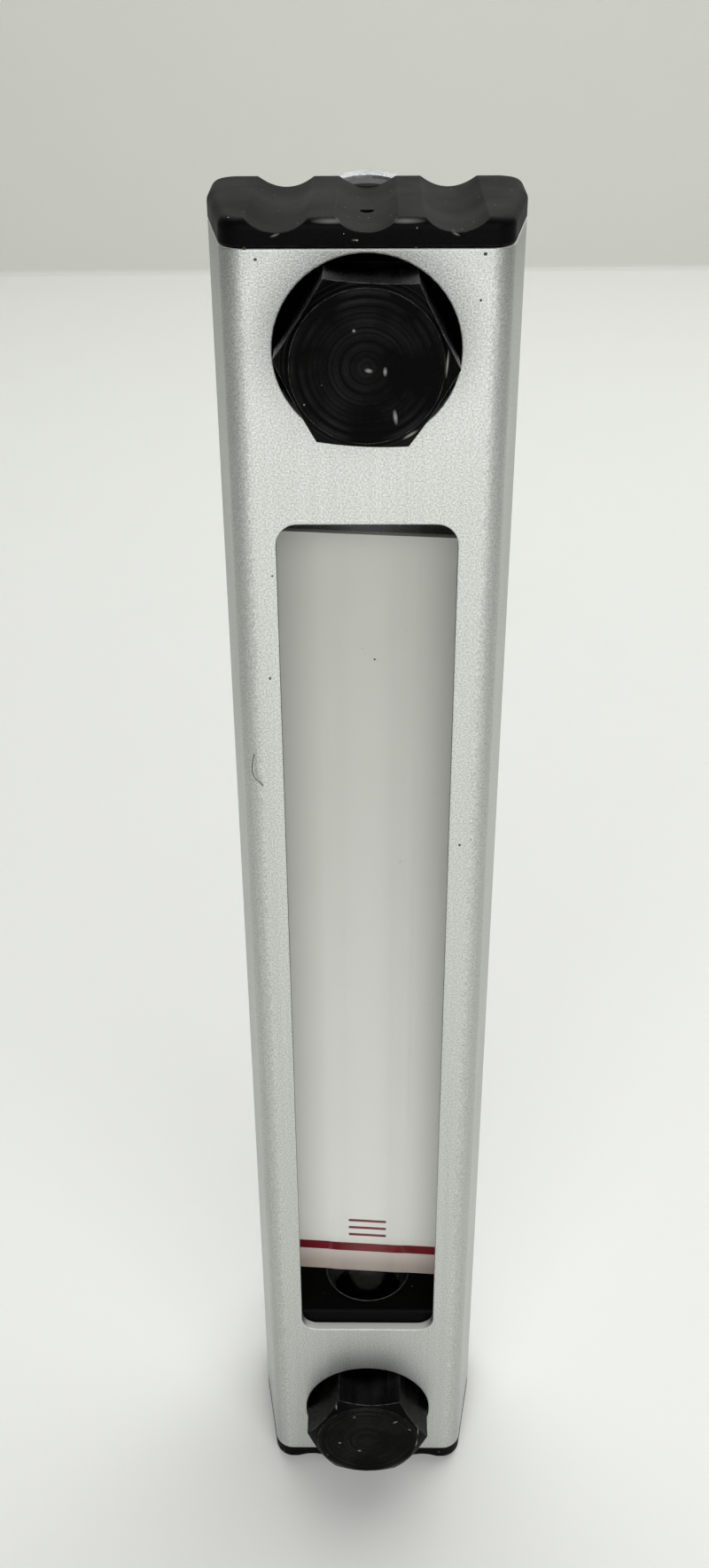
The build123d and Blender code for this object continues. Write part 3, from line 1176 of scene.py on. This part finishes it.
@dataclass
class ContrastStrip:
    """White strip behind the tube, with a printed red level line and a short plain scale."""

    material: Material
    ink: Material
    dust: Material
    turn_deg: float = -3.9
    film: float = 0.04 * MM
    film_gap: float = 0.002 * MM
    line_height: float = 1.8 * MM
    line_above_foot: float = 5.5 * MM
    line_margin: float = 0.4 * MM
    tick_width: float = 6.0 * MM
    tick_height: float = 0.5 * MM
    tick_pitch: float = 1.6 * MM
    tick_count: int = 3
    tick_above_line: float = 2.9 * MM
    corner_share: float = 0.3
    corner_steps: int = 3
    top_drops: Point = (0.73 * MM, 0.2 * MM)
    thickness: float = 1.0 * MM
    specks: tuple[Point3, ...] = (
        (0.93, 134.4, 0.17), (4.8, 138.6, 0.07), (-0.6, 135.9, 0.07), (4.4, 103.7, 0.09))

    def trimmed(self) -> Object:
        """Build the strip with its top trimmed askew, in place of its CAD node.

        Returns:
            The strip.
        """
        low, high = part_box("contrast_strip")
        mesh = node_mesh("contrast_strip")
        left, right = self.top_drops
        for vertex in mesh.vertices:
            if vertex.co.z > (low.z + high.z) / 2:
                share = (vertex.co.x - low.x) / (high.x - low.x)
                vertex.co.z -= left + (right - left) * share
        piece = place_piece("enamelled_strip", mesh, self.material)
        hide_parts("contrast_strip")
        return piece

    def bar(self, name: str, half_width: float, z: float, height: float) -> Object:
        """Print one bar on the strip's face.

        Args:
            name: the piece's name.
            half_width: half the bar's width.
            z: height of the bar's middle.
            height: how tall the bar is.

        Returns:
            The printed bar, a thin film with rounded corners.
        """
        corner = height * self.corner_share
        outline = []
        for index, (sx, sz) in enumerate(((1, 1), (-1, 1), (-1, -1), (1, -1))):
            for part in range(self.corner_steps + 1):
                angle = math.pi / 2 * (index + part / self.corner_steps)
                outline.append((sx * (half_width - corner) + corner * math.cos(angle),
                                sz * (height / 2 - corner) + corner * math.sin(angle)))
        face = -self.thickness / 2
        rows = [[Vector((x, depth, up)) for x, up in outline]
                for depth in (face - self.film, face - self.film_gap)]
        mesh = grid_mesh(name, rows)
        mesh.transform(Matrix.Rotation(math.radians(self.turn_deg), 4, "Z"))
        middle = centre("contrast_strip")
        return place_piece(name, mesh, self.ink, Vector((middle.x, middle.y, z)))

    def build(self) -> None:
        """Build the strip and print its marks."""
        self.trimmed()
        slope = math.tan(math.radians(self.turn_deg))
        middle_y = centre("contrast_strip").y
        scatter("strip_specks", self.specks, lambda x: middle_y - self.thickness / 2 + x * slope,
                self.dust)
        low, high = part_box("contrast_strip")
        half = (high.x - low.x) / 2 / math.cos(math.radians(self.turn_deg)) - self.line_margin
        line_z = low.z + self.line_above_foot
        self.bar("red_level_line", half, line_z, self.line_height)
        for i in range(self.tick_count):
            z = line_z + self.tick_above_line + i * self.tick_pitch
            self.bar(f"scale_tick_{i + 1}", self.tick_width / 2, z, self.tick_height)


@dataclass
class Housing:
    """The extrusion, with the hair and specks of dust that lie on it."""

    material: Material
    dust: Material
    hair: tuple[Point, ...] = (
        (-13.9, 126.3), (-14.25, 124.9), (-14.28, 123.6), (-13.83, 122.6), (-12.97, 121.7))
    hair_radius: float = 0.05 * MM
    specks: tuple[Point3, ...] = (
        (-12.6, 186.6, 0.22), (-11.5, 185.5, 0.18), (12.2, 186.0, 0.2), (11.9, 181.3, 0.16),
        (-11.6, 136.8, 0.2), (-10.9, 150.1, 0.16), (11.8, 112.8, 0.16), (13.2, 113.6, 0.1))

    def add_hair(self) -> Object:
        """Lay the hair on the housing's front.

        Returns:
            The hair.
        """
        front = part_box("housing_profile")[0].y
        curve = bpy.data.curves.new("dust_hair", "CURVE")
        curve.dimensions = "3D"
        curve.bevel_depth = self.hair_radius
        curve.bevel_resolution = 2
        spline = curve.splines.new("NURBS")
        spline.points.add(len(self.hair) - 1)
        for point, (x, z) in zip(spline.points, self.hair):
            point.co = (x * MM, front - self.hair_radius, z * MM, 1)
        spline.order_u = 3
        spline.use_endpoint_u = True
        holder = bpy.data.objects.new("hair_path", curve)
        mesh = bpy.data.meshes.new_from_object(holder)
        bpy.data.objects.remove(holder)
        return place_piece("dust_hair", mesh, self.dust, smooth_deg=60)

    def build(self) -> None:
        """Dress the extrusion and lay the dust on it."""
        dress_node("housing_profile", self.material)
        self.add_hair()
        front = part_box("housing_profile")[0].y
        scatter("dust_specks", self.specks, lambda x: front, self.dust)


@dataclass
class EndFittings:
    """The cap of one end, and the seals, washer and nut on its bolt."""

    end: End
    cap: Material
    rubber: Material
    zinc: Material

    def build(self) -> None:
        """Dress the five pieces."""
        finishes = {"end_cap": self.cap, "head_seal": self.rubber, "wall_seal": self.rubber,
                    "washer": self.zinc, "nut": self.zinc}
        for piece, material in finishes.items():
            dress_node(f"{self.end.value}_{piece}", material)


@dataclass(frozen=True)
class Lamp:
    """A soft rectangular lamp: its place and size in metres and its power in watts."""

    name: str
    at: Point3
    size: Point
    watts: float

    def hang(self) -> None:
        """Hang the lamp so that it faces the middle of the gauge."""
        data = bpy.data.lights.new(self.name, "AREA")
        data.shape = "RECTANGLE"
        data.size, data.size_y = self.size
        data.energy = self.watts
        piece = add_object(self.name, data)
        piece.location = self.at
        aim = (Vector(CAD_BOX[0]) + Vector(CAD_BOX[1])) / 2 - Vector(self.at)
        piece.rotation_euler = aim.to_track_quat("-Z", "Y").to_euler()


@dataclass
class Studio:
    """Table, backdrop, lamps, world light and camera."""

    table: Material
    backdrop: Material
    eye: Vector = field(default_factory=lambda: Vector((0.438, -190.51, 223.0)) * MM)
    yaw: float = -0.0123
    pitch: float = 0.5535
    roll: float = 0.0057
    lens: float = 35.395
    sensor: float = 36.0
    nearest: float = 0.01
    table_size: float = 6.0
    wall_height: float = 3.0
    wall_distance: float = 0.804
    wall_turn_deg: float = 1.6
    cove_radius: float = 0.003
    cove_steps: int = 8
    lamps: tuple[Lamp, ...] = (Lamp("overhead", (0.12, 0.5, 0.9), (1.3, 1.0), 9.7),
                               Lamp("front_fill", (0.1, -0.8, 0.42), (1.2, 0.6), 7.6))
    air: Colour = (0.9, 0.9, 0.88)
    air_strength: float = 0.15
    far_wall: Colour = linear(214, 215, 209)

    def camera(self) -> None:
        """Set up the camera at its viewing angle."""
        data = bpy.data.cameras.new("camera")
        data.lens = self.lens
        data.sensor_width = self.sensor
        data.clip_start = self.nearest
        view = add_object("camera", data)
        level = Matrix.Rotation(-self.yaw, 4, "Z") @ Matrix.Rotation(math.pi / 2 - self.pitch, 4, "X")
        view.matrix_world = Matrix.Translation(self.eye) @ level @ Matrix.Rotation(-self.roll, 4, "Z")
        bpy.context.scene.camera = view

    def surface(self, name: str, rows: Rows, material: Material) -> None:
        """Add a stage surface.

        Args:
            name: its name.
            rows: rows of points that it is skinned over.
            material: its finish.
        """
        mesh = grid_mesh(name, rows, closed=False, caps=False)
        mesh.materials.append(material)
        add_object(name, mesh)

    def light_air(self) -> None:
        """Set the world light, which the camera sees, straight or through glass, as a far wall."""
        world = bpy.data.worlds.new("studio_air")
        world.use_nodes = True
        graph = Graph(world.node_tree)
        air = graph.add("ShaderNodeBackground", {"Color": self.air, "Strength": self.air_strength})
        seen = graph.add("ShaderNodeBackground", {"Color": self.far_wall, "Strength": 1.0})
        ray = graph.add("ShaderNodeLightPath").outputs
        direct = graph.maths("MAXIMUM", ray["Is Camera Ray"], ray["Is Transmission Ray"])
        shown = graph.blend(direct, air.outputs["Background"], seen.outputs["Background"])
        graph.add("ShaderNodeOutputWorld", {"Surface": shown})
        bpy.context.scene.world = world

    def build(self) -> None:
        """Build the stage around the gauge."""
        self.camera()
        floor_z = CAD_BOX[0][2]
        half = self.table_size / 2
        back = self.wall_distance
        skew = half * math.tan(math.radians(self.wall_turn_deg))

        def across(y: float, z: float) -> list[Vector]:
            """Return the two ends of a line across the stage, turned with the wall.

            Args:
                y: its depth.
                z: its height.

            Returns:
                Its left and right ends.
            """
            return [Vector((-half, y - skew, z)), Vector((half, y + skew, z))]

        self.surface("table", [across(-half, floor_z), across(back, floor_z)], self.table)
        rows = []
        for step in range(self.cove_steps + 1):
            angle = math.pi / 2 * step / self.cove_steps
            rows.append(across(back + self.cove_radius * math.sin(angle),
                               floor_z + self.cove_radius * (1 - math.cos(angle))))
        rows.append(across(back + self.cove_radius, self.wall_height))
        self.surface("backdrop", rows, self.backdrop)
        for lamp in self.lamps:
            lamp.hang()
        self.light_air()
        bpy.context.scene.view_settings.view_transform = "Standard"
        log.info("built the studio")


# x, z, length and width in millimetres and turn in degrees; a bolt's are from its own axis
# Pale marks on the cap's front edges, painted highlights and scuff marks; the two long ones lie along the
# middle lands.
CAP_GLINTS_AND_SCUFFS: tuple[Mark, ...] = (
    (-3.7, 189.2, 3.6, 0.45, 0.0), (4.0, 189.2, 3.6, 0.45, 0.0), (-9.4, 187.9, 1.0, 0.25, -20.0),
    (9.1, 188.0, 0.9, 0.25, 25.0), (-1.2, 187.4, 0.7, 0.2, 0.0))
# Pale marks on each head, partly nicked spots and partly painted glints on its face and chamfer.
HEAD_GLINTS_AND_NICKS: dict[End, tuple[Mark, ...]] = {
    End.LOWER: (
        (4.5, 4.6, 0.9, 0.3, -30.0), (6.8, 2.7, 0.7, 0.2, 40.0), (-4.5, -0.8, 0.5, 0.4, 0.0),
        (-1.3, -2.8, 0.6, 0.4, 0.0), (8.2, 2.0, 0.2, 1.6, 0.0), (8.0, -0.7, 0.2, 1.8, 10.0),
        (-5.0, 7.6, 0.3, 0.9, 0.0), (-2.1, 5.8, 0.4, 0.3, 0.0)),
    End.UPPER: (
        (0.2, -0.3, 0.8, 0.45, 10.0), (1.9, -0.4, 0.4, 0.9, 0.0), (3.0, -5.2, 0.45, 1.5, -8.0),
        (4.6, -7.2, 1.7, 0.4, -32.0), (-1.3, 3.8, 0.35, 0.35, 0.0), (8.3, 0.3, 0.25, 2.6, 4.0)),
}
HEAD_TURNS_DEG: dict[End, float] = {End.LOWER: 2.0, End.UPPER: 3.0}


def main() -> None:
    """Build the studio and the gauge."""
    logging.basicConfig(level=logging.INFO, format="%(message)s")
    Studio(PaleTable().material("pale_table"),
           PaleTable(colour=linear(222, 223, 217)).material("backdrop_paper")).build()
    aluminium = AnodisedAluminium(hole_z=centre("upper_wall_seal").z).material("anodised_aluminium")
    rubber = Rubber().material("black_rubber")
    zinc = ZincPlate().material("zinc_plate")
    cap = MouldedPlastic(glints_and_scuffs=CAP_GLINTS_AND_SCUFFS, face_y=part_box("upper_end_cap")[0].y).material("cap_plastic")
    terminal = MouldedPlastic(colour=linear(3, 3, 3), pale=Coat(linear(6, 6, 6)), flecked=0.04,
                              wear_share=0.0, roughness=(0.3, 0.4)).material("terminal_plastic")
    # A pale ring on the lower socket's mouth: a painted highlight.
    lip = MouldedPlastic(colour=linear(40, 40, 38), pale=Coat(linear(90, 90, 88)), specular=0.2)
    dust = Grime().material("dust")
    Housing(aluminium, dust).build()
    SightTube(ClearTube().material("clear_tube"), rubber, lip.material("lip_highlight_plastic")).build()
    Terminals(terminal).build()
    low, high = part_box("contrast_strip")
    enamel = EnamelledStrip(heights=(low.z, high.z)).material("white_enamel")
    ContrastStrip(enamel, PrintedInk().material("red_ink"), dust).build()
    for end in End:
        face_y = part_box(f"{end.value}_banjo_bolt")[0].y
        steel = BlackenedSteel(glints_and_nicks=HEAD_GLINTS_AND_NICKS[end], face_y=face_y)
        HollowBolt(end, HEAD_TURNS_DEG[end], steel.material(f"blackened_steel_{end.value}")).build()
        EndFittings(end, cap, rubber, zinc).build()


if __name__ == "__main__":
    main()
